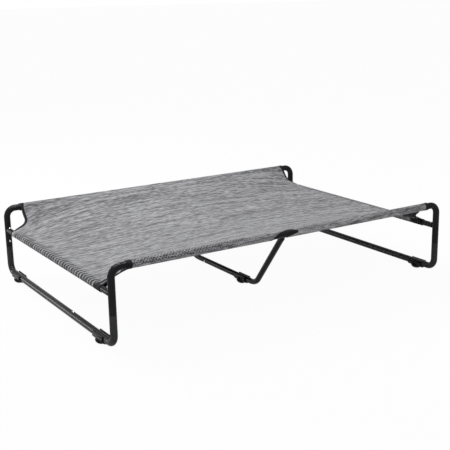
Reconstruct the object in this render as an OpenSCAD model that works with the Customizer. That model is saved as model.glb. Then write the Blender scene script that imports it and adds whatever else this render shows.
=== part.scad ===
// Raised cot for a large dog: a bent steel tube frame with raised side rails, low end bars,
// a leaning middle support, rubber feet and a stretched mesh sheet.
// Length runs along X, width along Y, and the floor is Z = 0 under the middle of the cot.

/* [Overall] */
// Distance between the leg axes along the cot
leg_span_x = 1230; // [1000:10:1500]
// Distance between the leg axes across the cot
leg_span_y = 838; // [640:2:1000]
// Height of the side rail axis above the floor
rail_z = 246; // [225:1:300]
// Height of the end cross bar axis above the floor
cross_z = 170; // [165:1:185]
// Height of the bottom bars' underside above the floor
foot_rise = 10; // [6:0.5:16]

/* [Tubes] */
// Outside diameter of rails, legs and bottom bars
tube_d = 22; // [20:0.5:25]
// Wall of rails, legs and bottom bars
tube_wall = 1.2; // [1:0.1:2]
// Outside diameter of the cross bars and the middle support
thin_d = 19; // [17:0.5:20]
// Wall of the cross bars and the middle support
thin_wall = 1.1; // [0.9:0.1:1.8]
// Bend radius at the tube centre line
bend_r = 30; // [24:1:40]
// Radial clearance of a reduced tube end in the tube that it slides into
slip = 0.05; // [0.03:0.01:0.1]
// Length of a reduced tube end
swage_len = 45; // [36:1:50]

/* [Joints between tubes] */
// Height of the seam in each leg
leg_seam_z = 110; // [80:1:115]
// Place along X of the seam in each side rail
rail_seam_x = 50; // [40:1:150]
// Distance from a seam to its snap button
button_setback = 22; // [18:1:26]
// Place along Y of the snap button in the left bottom bar
left_button_y = -131; // [-200:1:200]
// Place along Y of the snap button in the right bottom bar
right_button_y = 14; // [-200:1:200]
// Distance from a leg axis to the snap button of a cross bar
cross_button_in = 20; // [18:1:26]
// Length of the welded peg that carries a cross bar, from the leg axis
peg_len = 46; // [42:1:60]

/* [Snap buttons] */
// Diameter of a snap button
button_d = 6.4; // [5:0.1:7]
// Radial clearance of a snap button in its holes
button_gap = 0.1; // [0.05:0.01:0.1]
// Height of a snap button above its tube
button_rise = 2.5; // [2:0.1:3]
// Diameter of the collar that keeps a snap button in
collar_d = 8.6; // [8:0.1:9.5]
// Length of the spring tongue behind a snap button
tongue_len = 32; // [20:1:36]
// Thickness of the spring tongue
tongue_t = 0.6; // [0.4:0.1:1]
// Clearance of a spring tongue in its tube
tongue_gap = 0.6; // [0.4:0.1:1]

/* [Middle support] */
// Place along X of the pivots on the rails
mid_pivot_x = -32; // [-60:1:0]
// Place along X of the middle bottom bar
mid_bar_x = 12; // [0:1:30]
// Half length of the middle bottom bar, to where its legs turn up
mid_half = 199; // [170:1:240]
// Bend radius of the middle support at the tube centre line
mid_bend_r = 70; // [40:1:80]
// Place along Y of the snap button in the middle bottom bar
mid_button_y = 117; // [60:1:125]
// Thickness of the flattened top ends
tab_t = 4; // [3:0.5:5]
// Rounding radius of the flattened top ends
tab_r = 7.5; // [6.5:0.5:8]
// Gap between a flattened end and its rail
tab_gap = 0.4; // [0.3:0.1:1]
// Diameter of the pivot bolts
bolt_d = 6; // [5:0.5:6]
// Radial clearance of a pivot bolt in its eye
bolt_gap = 0.1; // [0.05:0.01:0.1]
// Diameter of the pivot bolt heads
bolt_head_d = 12; // [10:0.5:14]
// Thickness of the pivot bolt heads
bolt_head_h = 4; // [3:0.5:5]
// Outside diameter of the threaded inserts in the rails
insert_d = 9; // [8:0.5:10]
// Length of the threaded inserts
insert_len = 7; // [5:0.5:8]

/* [Feet] */
// Distance from a leg axis to the foot on its bottom bar
foot_in = 79; // [65:1:120]
// Distance from the bend of the middle support to its foot
mid_foot_gap = 20; // [12:1:60]
// Length of a foot along its bar
foot_len = 56; // [44:1:60]
// Wall of the clip round the bar
grip_wall = 4; // [3:0.5:5]
// Radial clearance of the clip on the bar
grip_gap = 0.05; // [0.03:0.01:0.1]
// Diameter of the rolled lips of the clip
lip_d = 5; // [4:0.5:6]
// Diameter of the round knob under the clip
knob_d = 32; // [28:1:36]

/* [Fabric] */
// Thickness of the mesh sheet
fabric_t = 1; // [0.8:0.1:1.4]
// Clearance of the mesh over what carries it
fabric_gap = 0.3; // [0.2:0.05:0.5]
// Distance from a leg axis to the end of a side sleeve
sleeve_in = 48; // [44:1:90]
// Distance from a leg axis to the end of an end hem
hem_in = 61; // [54:1:80]
// Width of the binding round the sleeve and hem ends
binding_w = 13; // [6:0.5:16]
// Thickness of the binding
binding_t = 1.2; // [0.8:0.1:1.6]
// Diameter of the rolled binding along the cut edges
bead_d = 3; // [2:0.2:4]
// Distance of the sheet's edges from the bindings at its corners
corner_gap = 3.5; // [3:0.5:6]
// Rounding radius of the cut-out corners of the sheet
notch_r = 20; // [10:1:30]
// How far the low ends draw the middle down, as a multiple of the width
draw_down = 2; // [1.2:0.1:2.6]
// How hollow the raised sides are at the ends, 1 for an even slope
side_hollow = 1.15; // [0.8:0.05:1.4]

/* [Slots for the middle support] */
// Length of the slot in each side sleeve
slot_len = 100; // [90:1:130]
// Distance of the slot's middle from the pivot, along X
slot_shift = -6.5; // [-20:0.5:0]
// Distance of the slot's middle below the rail axis
slot_drop = 4.5; // [2:0.5:7]
// Rise of the slot's outer edge above its chord
slot_upper = 10.5; // [8:0.5:12]
// Fall of the slot's lower edge below its chord
slot_lower = 4.5; // [3:0.5:8]
// Tilt of the slot in degrees
slot_tilt = 9.7; // [5:0.1:12]
// Height of the slot's inner edge above the rail axis
slot_inner = 9; // [8:0.5:10]

/* [Hidden] */
$fn = 64;
over = 1;
leg_x = leg_span_x / 2;
leg_y = leg_span_y / 2;
tube_bore = tube_d - 2 * tube_wall;
thin_bore = thin_d - 2 * thin_wall;
tube_swage = tube_bore - 2 * slip;
thin_swage = thin_bore - 2 * slip;
bar_z = foot_rise + tube_d / 2;
mid_bar_z = foot_rise + thin_d / 2;
left_seam_y = left_button_y + button_setback;
right_seam_y = right_button_y + button_setback;
mid_seam_y = mid_button_y + button_setback;
button_hole = button_d + 2 * button_gap;
button_z = leg_seam_z + button_setback;

// The middle support lies in a plane that leans along X about its pivots.
mid_rise = rail_z - mid_bar_z;
mid_run = mid_bar_x - mid_pivot_x;
mid_h = norm([mid_rise, mid_run]);
mid_lean = atan(mid_run / mid_rise);
mid_splay = atan((leg_y - mid_half) / mid_h);
mid_turn = 90 - mid_splay;
mid_tangent = mid_bend_r * tan(mid_turn / 2);
mid_foot_y = mid_tangent - mid_half + mid_foot_gap + foot_len / 2;
mid_leg = norm([leg_y - mid_half, mid_h]);
tab_in = tube_d / 2 + tab_gap;
tab_out = tab_in + tab_t;
tab_cut = bolt_head_d / 2 + 3;
draw_in = 0.2;
run_on = 3;

// Radii of the sheet's sleeves and hems, and where the sheet leaves them.
sleeve_r = tube_d / 2 + fabric_gap + fabric_t;
hem_r = thin_d / 2 + fabric_gap + fabric_t;
sleeve_end = leg_x - sleeve_in;
hem_end = leg_y - hem_in;
side_end = sleeve_end - binding_w - corner_gap;
end_half = hem_end - binding_w - corner_gap;
seat_r = sleeve_r + 2 * fabric_gap + fabric_t / 2;
low_z = cross_z + hem_r + fabric_gap + fabric_t / 2;
wrap_middle = 18;
wrap_end = 44;
slot_x = mid_pivot_x + slot_shift;
bead_r = bead_d / 2;

steel = "#1b1c1f";
rubber = "#232325";
zinc = "#b9bcc0";
mesh = "#8f9094";
tape = "#26272a";

// Round rods along each axis
module rod_x(d, x0, x1) {
    translate([x0, 0, 0]) rotate([0, 90, 0]) cylinder(d = d, h = x1 - x0);
}
module rod_y(d, y0, y1) {
    translate([0, y0, 0]) rotate([-90, 0, 0]) cylinder(d = d, h = y1 - y0);
}
module rod_z(d, z0, z1) {
    translate([0, 0, z0]) cylinder(d = d, h = z1 - z0);
}
module elbow(d, turn, r = bend_r) {
    rotate_extrude(angle = turn) translate([r, 0]) circle(d = d);
}

// The near side and the left end are drawn, and the others are their mirror images.
module far_side() {
    mirror([0, 1, 0]) children();
}
module right_end() {
    mirror([1, 0, 0]) children();
}

// Side rail with its bend and upper leg, as a solid rod in the plane Y = 0
module rail_rod(d, x_end, z_end) {
    translate([0, 0, rail_z]) rod_x(d, bend_r - leg_x, x_end);
    translate([bend_r - leg_x, 0, rail_z - bend_r]) rotate([90, 0, 0]) rotate([0, 0, 90]) elbow(d, 90);
    translate([-leg_x, 0, 0]) rod_z(d, z_end, rail_z - bend_r);
}

// Left or right half of the near rail, with the welded peg for its cross bar
module half_rail(x_end, reduced) {
    translate([0, -leg_y, 0]) difference() {
        union() {
            rail_rod(tube_d, x_end, leg_seam_z);
            translate([-leg_x, 0, cross_z]) rod_y(thin_swage, 0, peg_len);
            if (reduced) translate([0, 0, rail_z]) rod_x(tube_swage, x_end - over, x_end + swage_len);
        }
        rail_rod(tube_bore, reduced ? x_end - 2 * tube_wall : x_end + over, leg_seam_z - over);
        if (reduced) {
            translate([0, 0, rail_z])
                rod_x(tube_swage - 2 * tube_wall, x_end - 2 * tube_wall - over, x_end + swage_len + over);
        }
        translate([-leg_x, 0, cross_z]) rod_y(thin_swage - 2 * thin_wall, tube_d / 2, peg_len + over);
        translate([-leg_x, 0, button_z]) rod_y(button_hole, 0, tube_d);
        translate([-leg_x, cross_button_in, cross_z]) rod_z(button_hole, 0, thin_d);
        if (!reduced) translate([mid_pivot_x, 0, rail_z]) rod_y(insert_d + 2 * slip, 0, tube_d);
    }
}

// Bottom bar end with its bend and lower leg, as a solid rod in the plane X = 0
module leg_rod(d, y_end, z_end) {
    translate([0, -leg_y, 0]) rod_z(d, bar_z + bend_r, z_end);
    translate([0, bend_r - leg_y, bar_z + bend_r]) rotate([90, 0, 90]) rotate([0, 0, 180]) elbow(d, 90);
    translate([0, 0, bar_z]) rod_y(d, bend_r - leg_y, y_end);
}

// Near half of an end frame, whose bar ends in a plain socket or in a reduced end
module half_frame(x, y_end, button_y, reduced) {
    leg_inner = leg_seam_z - 2 * tube_wall;
    bar_inner = reduced ? y_end - 2 * tube_wall : y_end + over;
    swage_bore = tube_swage - 2 * tube_wall;
    translate([x, 0, 0]) difference() {
        union() {
            leg_rod(tube_d, y_end, leg_seam_z);
            translate([0, -leg_y, 0]) rod_z(tube_swage, leg_seam_z - over, leg_seam_z + swage_len);
            if (reduced) translate([0, 0, bar_z]) rod_y(tube_swage, y_end - over, y_end + swage_len);
        }
        leg_rod(tube_bore, bar_inner, leg_inner);
        translate([0, -leg_y, 0]) rod_z(swage_bore, leg_inner - over, leg_seam_z + swage_len + over);
        if (reduced) translate([0, 0, bar_z]) rod_y(swage_bore, bar_inner - over, y_end + swage_len + over);
        translate([0, -leg_y, button_z]) rod_y(button_hole, 0, tube_d);
        translate([0, button_y, bar_z]) rod_z(button_hole, 0, tube_d);
    }
}

// Middle support drawn with its pivots on the X = 0, Z = 0 line and its plane upright
// Its slanting bend is drawn in slightly and runs on into the bar.
module middle_rod(d, y_end, top_cut) {
    translate([0, 0, -mid_h]) rod_y(d, mid_tangent - mid_half, y_end);
    translate([0, mid_tangent - mid_half, mid_bend_r - mid_h])
    rotate([90, 0, 90]) rotate([0, 0, 270 - mid_turn]) {
        elbow(d - draw_in, mid_turn + run_on, mid_bend_r);
        translate([mid_bend_r, 0, 0]) rotate([90, 0, 0])
            cylinder(d = d, h = mid_leg - mid_tangent - top_cut);
    }
}

// Half of the middle support, flattened at the top into an eye for the pivot bolt
module half_middle(y_end, button_y, reduced) {
    bar_inner = reduced ? y_end - 2 * thin_wall : y_end + over;
    translate([mid_pivot_x, 0, rail_z]) rotate([0, -mid_lean, 0]) difference() {
        union() {
            middle_rod(thin_d, y_end, 0);
            translate([0, tab_in - leg_y - over, 0]) rod_y(2 * tab_r, 0, tab_t + over);
            if (reduced) translate([0, 0, -mid_h]) rod_y(thin_swage, y_end - over, y_end + swage_len);
        }
        translate([-thin_d, tab_out - leg_y, -tab_cut]) cube([2 * thin_d, 4 * thin_d, 2 * thin_d]);
        translate([-thin_d, tab_in - leg_y - 2 * thin_d, -4 * thin_d])
            cube([2 * thin_d, 2 * thin_d, 5 * thin_d]);
        middle_rod(thin_bore, bar_inner, tab_out / sin(mid_splay) + 2 * thin_d);
        if (reduced) {
            translate([0, 0, -mid_h])
                rod_y(thin_swage - 2 * thin_wall, bar_inner - over, y_end + swage_len + over);
        }
        translate([0, button_y, -mid_h]) rotate([0, -90, 0]) rod_z(button_hole, 0, thin_d);
        translate([0, -leg_y, 0]) rod_y(bolt_d + 2 * bolt_gap, 0, tab_out + over);
    }
}

// Straight cross bar that slides over the welded pegs
module cross_bar() {
    reach = leg_y - tube_d / 2 - fabric_gap;
    color(steel) translate([-leg_x, 0, cross_z]) difference() {
        rod_y(thin_d, -reach, reach);
        rod_y(thin_bore, -reach - over, reach + over);
        for (side = [-1, 1]) {
            translate([0, side * (leg_y - cross_button_in), 0]) rod_z(button_hole, 0, thin_d);
        }
    }
}

// Rubber foot clipped under a bar of diameter d, with the bar axis at [x, y]
module foot(d, x, y) {
    axis_z = foot_rise + d / 2;
    grip_d = d + 2 * grip_gap;
    lip_r = grip_d / 2 + lip_d / 2;
    lip_z = 0.35 * d;
    lip_x = sqrt(lip_r * lip_r - lip_z * lip_z);
    color(rubber) translate([x, y, 0]) difference() {
        union() {
            intersection() {
                translate([0, 0, 0.4 * knob_d]) sphere(d = knob_d);
                translate([-knob_d, -knob_d, 0]) cube([2 * knob_d, 2 * knob_d, axis_z]);
            }
            translate([0, 0, axis_z]) difference() {
                rod_y(grip_d + 2 * grip_wall, -foot_len / 2, foot_len / 2);
                translate([-d, -foot_len, lip_z]) cube([2 * d, 2 * foot_len, 2 * d]);
            }
            for (side = [-1, 1]) {
                translate([side * lip_x, 0, axis_z + lip_z]) rod_y(lip_d, -foot_len / 2, foot_len / 2);
            }
        }
        translate([0, 0, axis_z]) rod_y(grip_d, -foot_len, foot_len);
    }
}

// Snap button along +Z, in a tube of diameter d with a reduced end of diameter swage inside
// Its spring tongue reaches back from the button by the given length.
module button(d, swage, wall, turn, back = tongue_len / 2) {
    bore_r = swage / 2 - wall;
    seat = sqrt(bore_r * bore_r - collar_d * collar_d / 4) - tongue_gap;
    top = d / 2 + button_rise;
    dome = 0.65 * button_d;
    color(zinc) {
        intersection() {
            rod_z(button_d, seat - over, top);
            translate([0, 0, top - dome]) sphere(r = dome);
        }
        rod_z(button_d, seat - over, top - dome);
        rod_z(collar_d, seat - over, seat);
        rotate([0, 0, turn]) translate([-button_d / 2, -back, seat - over - tongue_t])
            cube([button_d, tongue_len, tongue_t]);
    }
}
module leg_button() {
    translate([-leg_x, -leg_y, button_z]) rotate([-90, 0, 0]) button(tube_d, tube_swage, tube_wall, 0);
}
module cross_button() {
    back = cross_button_in - tube_d / 2 - tongue_gap;
    translate([-leg_x, cross_button_in - leg_y, cross_z]) button(thin_d, thin_swage, thin_wall, 0, back);
}

// Pivot bolt through a flattened end into the threaded insert of its rail
module pivot_bolt() {
    color(zinc) translate([mid_pivot_x, -leg_y, rail_z]) {
        rod_y(bolt_d, tube_d / 2 - insert_len, tab_out + over);
        rod_y(bolt_head_d, tab_out + 2 * slip, tab_out + bolt_head_h);
    }
}
module rail_insert() {
    color(zinc) translate([mid_pivot_x, -leg_y, rail_z]) difference() {
        rod_y(insert_d, tube_d / 2 - insert_len, tube_d / 2);
        rod_y(bolt_d + 2 * slip, 0, tube_d);
    }
}

// Outline of the slot in a side sleeve: two arcs on one tilted chord, open below up to the leg's edge
slot_left = slot_x - slot_len / 2;
leg_edge = mid_pivot_x + tab_r;
function arc_r(sag) = (slot_len * slot_len / 4 + sag * sag) / (2 * sag);
module slot_upper_disc() {
    translate([slot_x, -slot_drop]) rotate(slot_tilt) translate([0, slot_upper - arc_r(slot_upper)])
        circle(r = arc_r(slot_upper), $fn = 256);
}
module slot_outline() {
    intersection() {
        slot_upper_disc();
        translate([slot_x, -slot_drop]) rotate(slot_tilt) translate([0, arc_r(slot_lower) - slot_lower])
            circle(r = arc_r(slot_lower), $fn = 256);
    }
    intersection() {
        slot_upper_disc();
        translate([slot_left, -2 * sleeve_r]) square([leg_edge - slot_left, 2 * sleeve_r]);
    }
}
module sleeve() {
    inner = sleeve_r - fabric_t;
    color(mesh) translate([0, -leg_y, rail_z]) difference() {
        rod_x(2 * sleeve_r, -sleeve_end, sleeve_end);
        rod_x(2 * inner, -sleeve_end - over, sleeve_end + over);
        rotate([90, 0, 0]) linear_extrude(2 * sleeve_r) slot_outline();
        translate([slot_left, 0, -2 * sleeve_r])
            cube([slot_len, 2 * sleeve_r, 2 * sleeve_r + slot_inner]);
    }
}
module hem() {
    inner = hem_r - fabric_t;
    color(mesh) translate([-leg_x, 0, cross_z]) difference() {
        rod_y(2 * hem_r, -hem_end, hem_end);
        rod_y(2 * inner, -hem_end - over, hem_end + over);
    }
}

// Height of the stretched sheet: raised along the rails and drawn down by the low ends
function sinh(a) = (exp(a) - exp(-a)) / 2;
function wrap(x) = wrap_middle + (wrap_end - wrap_middle) * pow(abs(x) / leg_x, 4);
function side_y(x) = leg_y - seat_r * sin(wrap(x));
function side_z(x) = rail_z + seat_r * cos(wrap(x));
function hollow(x) = 1 + (side_hollow - 1) * pow(abs(x) / leg_x, 4);
function pull(c, d) = atan2(c, sinh(PI * d / (draw_down * leg_span_y))) / 90;
function dip(c, x) = min(1, pull(c, leg_x - x) + pull(c, leg_x + x));
function profile(x, s) = pow(max(0, cos(90 * s)), hollow(x));
function sheet_z(x, s) = side_z(x) - (side_z(x) - low_z) * dip(profile(x, s), x);

// Rows of the sheet across the width, as shares of the half width, and their half lengths
// Each corner is cut out square, with its inner corner rounded by three steps of an arc.
rows_middle = 12;
columns = 24;
arc_step = 30;
arc_sag = notch_r * (1 - cos(arc_step / 2));
notch_lip = 0.5;
edge_s = end_half / side_y(leg_x);
function arc_s(k) = edge_s + notch_r * (1 - cos(arc_step * k)) / side_y(side_end);
row_side = [edge_s + notch_lip / side_y(side_end), arc_s(1), arc_s(2), arc_s(3), (arc_s(3) + 1) / 2, 1];
row_s = concat(
    [for (k = [len(row_side) - 1 : -1 : 0]) -row_side[k]],
    [for (k = [0 : rows_middle]) edge_s * (2 * k / rows_middle - 1)],
    row_side
);
function into_arc(s) = min(notch_r, max(0, notch_r - (abs(s) - edge_s) * side_y(side_end)));
function half_length(s) =
    abs(s) <= edge_s ? leg_x : side_end + notch_r - sqrt(notch_r * notch_r - into_arc(s) * into_arc(s));
function sheet_x(u, s) = half_length(s) * sin(90 * u);
function sheet_at(x, s) = [x, side_y(x) * s, sheet_z(x, s)];
function unit(v) = v / norm(v);
function sheet_normal(x, s) =
    let (x0 = max(-leg_x, x - 1), x1 = min(leg_x, x + 1), s0 = max(-1, s - 0.004), s1 = min(1, s + 0.004))
    unit(cross(sheet_at(x1, s) - sheet_at(x0, s), sheet_at(x, s1) - sheet_at(x, s0)));

module fabric_panel() {
    nx = columns;
    ny = len(row_s) - 1;
    total = (nx + 1) * (ny + 1);
    function at(i, j) = j * (nx + 1) + i;
    function us(i) = 2 * i / nx - 1;
    points = [for (side = [0.5, -0.5]) for (s = row_s) for (i = [0 : nx])
        let (x = sheet_x(us(i), s)) sheet_at(x, s) + side * fabric_t * sheet_normal(x, s)];
    function quad(a, b, c, d) = [[a, b, c], [a, c, d]];
    top = [for (j = [0 : ny - 1]) for (i = [0 : nx - 1])
        each quad(at(i, j), at(i, j + 1), at(i + 1, j + 1), at(i + 1, j))];
    under = [for (j = [0 : ny - 1]) for (i = [0 : nx - 1])
        each quad(total + at(i, j), total + at(i + 1, j), total + at(i + 1, j + 1), total + at(i, j + 1))];
    rim = concat([for (i = [0 : nx - 1]) [at(i, 0), at(i + 1, 0)]],
        [for (j = [0 : ny - 1]) [at(nx, j), at(nx, j + 1)]],
        [for (i = [nx : -1 : 1]) [at(i, ny), at(i - 1, ny)]],
        [for (j = [ny : -1 : 1]) [at(0, j), at(0, j - 1)]]);
    wall = [for (e = rim) each quad(e[0], e[1], total + e[1], total + e[0])];
    color(mesh) polyhedron(points = points, faces = concat(top, under, wall));
}

// Round cord swept along a list of points
module swept(route, r, sides) {
    last = len(route) - 1;
    function heading(k) = unit(route[min(last, k + 1)] - route[max(0, k - 1)]);
    function across(k) = unit(cross([0.31, 0.83, 0.46], heading(k)));
    function up(k) = cross(heading(k), across(k));
    points = [for (k = [0 : last]) for (i = [0 : sides - 1])
        route[k] + r * (cos(360 * i / sides) * across(k) + sin(360 * i / sides) * up(k))];
    skin = [for (k = [0 : last - 1]) for (i = [0 : sides - 1])
        let (a = k * sides + i, b = k * sides + (i + 1) % sides)
        each [[a, a + sides, b + sides], [a, b + sides, b]]];
    ends = [[for (i = [0 : sides - 1]) i], [for (i = [sides - 1 : -1 : 0]) last * sides + i]];
    polyhedron(points = points, faces = concat(skin, ends));
}

// Black binding at the left near corner: bands on the sleeve and hem ends and the cut edge between
module corner_binding() {
    steps = 6;
    clear = bead_r + 3 * fabric_gap + arc_sag;
    turn_x = side_end + notch_r;
    turn_y = end_half + notch_r;
    top_y = side_y(side_end) - clear - 2 * binding_t;
    low_x = leg_x - hem_r;
    plan = concat(
        [for (k = [0 : 2]) [side_end + clear, top_y + (turn_y - top_y) * k / 3]],
        [for (k = [0 : steps]) let (a = 90 * k / steps)
            [turn_x - (notch_r - clear) * cos(a), turn_y - (notch_r - clear) * sin(a)]],
        [for (k = [1 : 3]) [turn_x + (low_x - turn_x) * k / 3, end_half + clear]]
    );
    route = [for (p = plan) sheet_at(-p[0], -p[1] / side_y(p[0]))];
    color(tape) {
        translate([0, -leg_y, rail_z]) difference() {
            rod_x(2 * (sleeve_r + binding_t), -sleeve_end, binding_w - sleeve_end);
            rod_x(2 * (sleeve_r + slip), -leg_x, 0);
        }
        translate([-leg_x, 0, cross_z]) difference() {
            rod_y(2 * (hem_r + binding_t), -hem_end, binding_w - hem_end);
            rod_y(2 * (hem_r + slip), -leg_y, 0);
        }
        swept(route, bead_r, 8);
    }
}

// Black binding round the slot, lying on the outside of the sleeve
function slot_arc(t, sag) = sag * (1 - pow(2 * t - 1, 2));
function slot_flat(t, sag) =
    let (a = slot_len * (t - 0.5), b = slot_arc(t, sag))
    [a * cos(slot_tilt) - b * sin(slot_tilt) + slot_x, a * sin(slot_tilt) + b * cos(slot_tilt) - slot_drop];
function on_sleeve(p) =
    let (r = sleeve_r + bead_r / 2 + fabric_gap, z = max(-0.94 * r, min(0.94 * r, p[1])))
    [p[0], -leg_y - sqrt(r * r - z * z), rail_z + z];
module slot_binding() {
    steps = 20;
    upper = [for (k = [0 : steps]) on_sleeve(slot_flat(k / steps, slot_upper))];
    leg_share = (leg_edge - slot_left) / slot_len;
    first = ceil(steps * leg_share);
    lower = [for (k = [steps - 1 : -1 : first]) on_sleeve(slot_flat(k / steps, -slot_lower))];
    color(tape) swept(concat(upper, lower), bead_r / 2, 6);
}

module rail_near_left() { color(steel) half_rail(rail_seam_x, false); }
module rail_near_right() { color(steel) right_end() half_rail(-rail_seam_x, true); }
module rail_far_left() { color(steel) far_side() half_rail(rail_seam_x, false); }
module rail_far_right() { color(steel) far_side() right_end() half_rail(-rail_seam_x, true); }
module end_frame_left_near() { color(steel) half_frame(-leg_x, left_seam_y, left_button_y, false); }
module end_frame_left_far() {
    color(steel) far_side() half_frame(-leg_x, -left_seam_y, -left_button_y, true);
}
module end_frame_right_near() { color(steel) half_frame(leg_x, right_seam_y, right_button_y, false); }
module end_frame_right_far() {
    color(steel) far_side() half_frame(leg_x, -right_seam_y, -right_button_y, true);
}
module middle_frame_near() { color(steel) half_middle(mid_seam_y, mid_button_y, false); }
module middle_frame_far() { color(steel) far_side() half_middle(-mid_seam_y, -mid_button_y, true); }
module cross_bar_left() { cross_bar(); }
module cross_bar_right() { right_end() cross_bar(); }
module foot_left_near() { foot(tube_d, -leg_x, foot_in - leg_y); }
module foot_left_far() { foot(tube_d, -leg_x, leg_y - foot_in); }
module foot_right_near() { foot(tube_d, leg_x, foot_in - leg_y); }
module foot_right_far() { foot(tube_d, leg_x, leg_y - foot_in); }
module foot_middle() { foot(thin_d, mid_bar_x, mid_foot_y); }
module leg_button_left_near() { leg_button(); }
module leg_button_left_far() { far_side() leg_button(); }
module leg_button_right_near() { right_end() leg_button(); }
module leg_button_right_far() { far_side() right_end() leg_button(); }
module bar_button_left() {
    translate([-leg_x, left_button_y, bar_z]) button(tube_d, tube_swage, tube_wall, 0);
}
module bar_button_right() {
    translate([leg_x, right_button_y, bar_z]) button(tube_d, tube_swage, tube_wall, 0);
}
module bar_button_middle() {
    translate([mid_bar_x, mid_button_y, mid_bar_z]) rotate([0, -90 - mid_lean, 0])
        button(thin_d, thin_swage, thin_wall, 0);
}
module cross_button_left_near() { cross_button(); }
module cross_button_left_far() { far_side() cross_button(); }
module cross_button_right_near() { right_end() cross_button(); }
module cross_button_right_far() { far_side() right_end() cross_button(); }
module pivot_bolt_near() { pivot_bolt(); }
module pivot_bolt_far() { far_side() pivot_bolt(); }
module rail_insert_near() { rail_insert(); }
module rail_insert_far() { far_side() rail_insert(); }
module sleeve_near() { sleeve(); }
module sleeve_far() { far_side() sleeve(); }
module hem_left() { hem(); }
module hem_right() { right_end() hem(); }
module binding_left_near() { corner_binding(); }
module binding_left_far() { far_side() corner_binding(); }
module binding_right_near() { right_end() corner_binding(); }
module binding_right_far() { far_side() right_end() corner_binding(); }
module slot_binding_near() { slot_binding(); }
module slot_binding_far() { far_side() slot_binding(); }

rail_near_left();
rail_near_right();
rail_far_left();
rail_far_right();
end_frame_left_near();
end_frame_left_far();
end_frame_right_near();
end_frame_right_far();
middle_frame_near();
middle_frame_far();
cross_bar_left();
cross_bar_right();
foot_left_near();
foot_left_far();
foot_right_near();
foot_right_far();
foot_middle();
leg_button_left_near();
leg_button_left_far();
leg_button_right_near();
leg_button_right_far();
bar_button_left();
bar_button_right();
bar_button_middle();
cross_button_left_near();
cross_button_left_far();
cross_button_right_near();
cross_button_right_far();
pivot_bolt_near();
pivot_bolt_far();
rail_insert_near();
rail_insert_far();
fabric_panel();
sleeve_near();
sleeve_far();
hem_left();
hem_right();
binding_left_near();
binding_left_far();
binding_right_near();
binding_right_far();
slot_binding_near();
slot_binding_far();
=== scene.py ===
# %% [markdown]
# # A raised dog cot
# The cot is a sheet of open mesh slung between two high side rails and two low cross bars, on a
# frame of black tube that comes apart at snap buttons. The tubes, buttons and bolts arrive with the
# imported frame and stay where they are. This lesson gives them their finishes and models what is
# moulded or sewn: the rubber feet, the stretched sheet, its loops, its tape and its stitching.
# All lengths below are in millimetres, and MM turns them into Blender's metres.

# %% Load the frame
import math
from contextlib import contextmanager

import bpy
from mathutils import Matrix, Vector


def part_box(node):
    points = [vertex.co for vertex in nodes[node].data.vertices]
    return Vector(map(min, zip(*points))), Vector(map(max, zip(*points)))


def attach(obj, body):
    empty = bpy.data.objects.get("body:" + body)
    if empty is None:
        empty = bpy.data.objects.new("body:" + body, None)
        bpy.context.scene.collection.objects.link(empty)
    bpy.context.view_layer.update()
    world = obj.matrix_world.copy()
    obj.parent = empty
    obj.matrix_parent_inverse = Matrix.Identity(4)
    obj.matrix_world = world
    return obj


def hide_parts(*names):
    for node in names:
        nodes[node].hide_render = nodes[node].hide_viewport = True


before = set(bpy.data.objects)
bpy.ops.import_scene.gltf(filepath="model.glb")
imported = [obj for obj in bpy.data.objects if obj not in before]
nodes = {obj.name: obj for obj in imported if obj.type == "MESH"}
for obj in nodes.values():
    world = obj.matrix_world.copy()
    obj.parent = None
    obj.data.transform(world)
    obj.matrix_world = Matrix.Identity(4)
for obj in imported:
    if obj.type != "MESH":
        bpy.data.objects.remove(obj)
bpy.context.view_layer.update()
MM = 0.001

# %% [markdown]
# ## Camera
# The camera comes first, so that every later step can be judged in the same picture. It stands in
# front of the left end, a little above the rails. A place, two angles and a roll are easier to
# read than a matrix, so the matrix is worked out from them.

# %% Camera
CAMERA_PLACE = Vector((-1576, -2525, 967)) * MM
CAMERA_AZIMUTH = math.radians(-32.30)
CAMERA_ELEVATION = math.radians(14.81)
CAMERA_ROLL = math.radians(-1.05)
CAMERA_LENS = 70.83
SENSOR_WIDTH = 36
FARTHEST_SEEN = 200


def in_scene(name, data):
    """A new object with the given data, linked to the scene."""
    made = bpy.data.objects.new(name, data)
    bpy.context.scene.collection.objects.link(made)
    return made


back = Vector((
    math.sin(CAMERA_AZIMUTH) * math.cos(CAMERA_ELEVATION),
    -math.cos(CAMERA_AZIMUTH) * math.cos(CAMERA_ELEVATION),
    math.sin(CAMERA_ELEVATION),
))
level = Vector((0, 0, 1)).cross(back).normalized()
upright = back.cross(level)
right = level * math.cos(CAMERA_ROLL) + upright * math.sin(CAMERA_ROLL)
turn = Matrix((right, back.cross(right), back)).transposed().to_4x4()
camera_data = bpy.data.cameras.new("camera")
camera_data.sensor_width = SENSOR_WIDTH
camera_data.lens = CAMERA_LENS
camera_data.clip_end = FARTHEST_SEEN
camera = in_scene("camera", camera_data)
camera.matrix_world = Matrix.Translation(CAMERA_PLACE) @ turn
bpy.context.scene.camera = camera
print("camera at", [round(v, 3) for v in CAMERA_PLACE], "lens", CAMERA_LENS)

# %% [markdown]
# ## Sizes taken from the frame
# The sheet hangs on the frame, so its main sizes aren't typed in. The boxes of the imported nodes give
# the axes and radii of the rails and cross bars and the ends of the sleeves and hems.

# %% Sizes
def box_mm(node):
    """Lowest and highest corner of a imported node, in millimetres."""
    low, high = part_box(node)
    return low / MM, high / MM


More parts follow.
